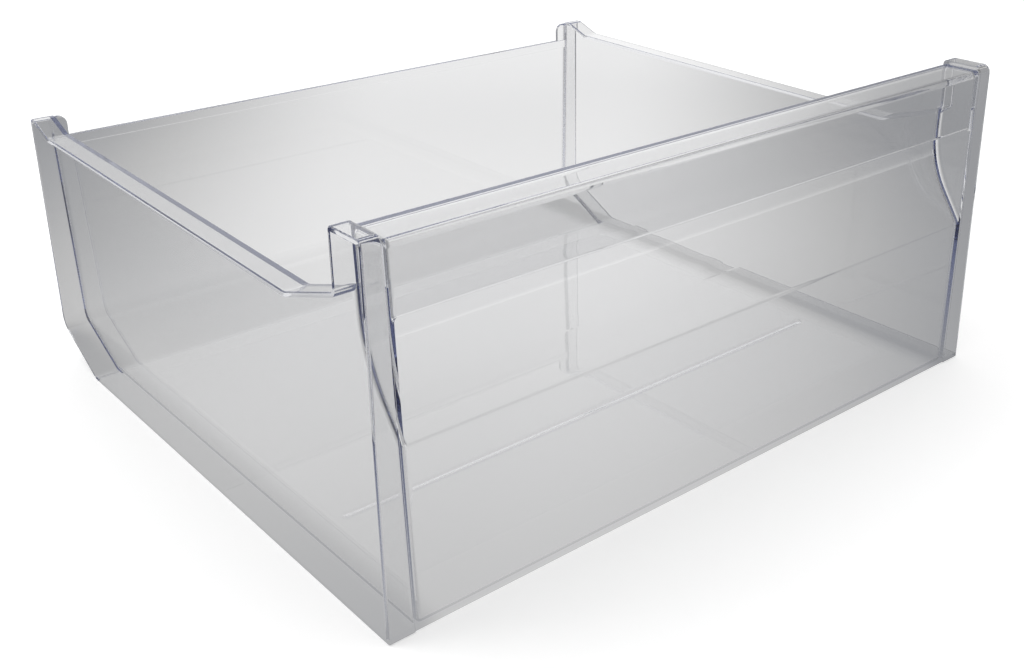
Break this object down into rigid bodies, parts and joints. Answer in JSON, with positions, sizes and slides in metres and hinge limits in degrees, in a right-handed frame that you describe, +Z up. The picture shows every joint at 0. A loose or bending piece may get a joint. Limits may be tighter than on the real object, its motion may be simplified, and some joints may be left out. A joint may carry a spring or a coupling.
{
  "type": "fridge crisper drawer",
  "caption": "Clear moulded refrigerator drawer: open box with a full-width finger recess under its front pull and a flange round each side.",
  "frame": {"origin": "middle of the drawer's outer box, on the underside it rests on", "axes": "+X to the right as seen from the front, +Y to the back, +Z up"},
  "size_m": [0.45, 0.393, 0.2],
  "materials": {
    "clear_polystyrene": "clear, polished mould"
  },
  "bodies": {
    "root": {"drawer_body": "clear_polystyrene"}
  },
  "joints": []
}
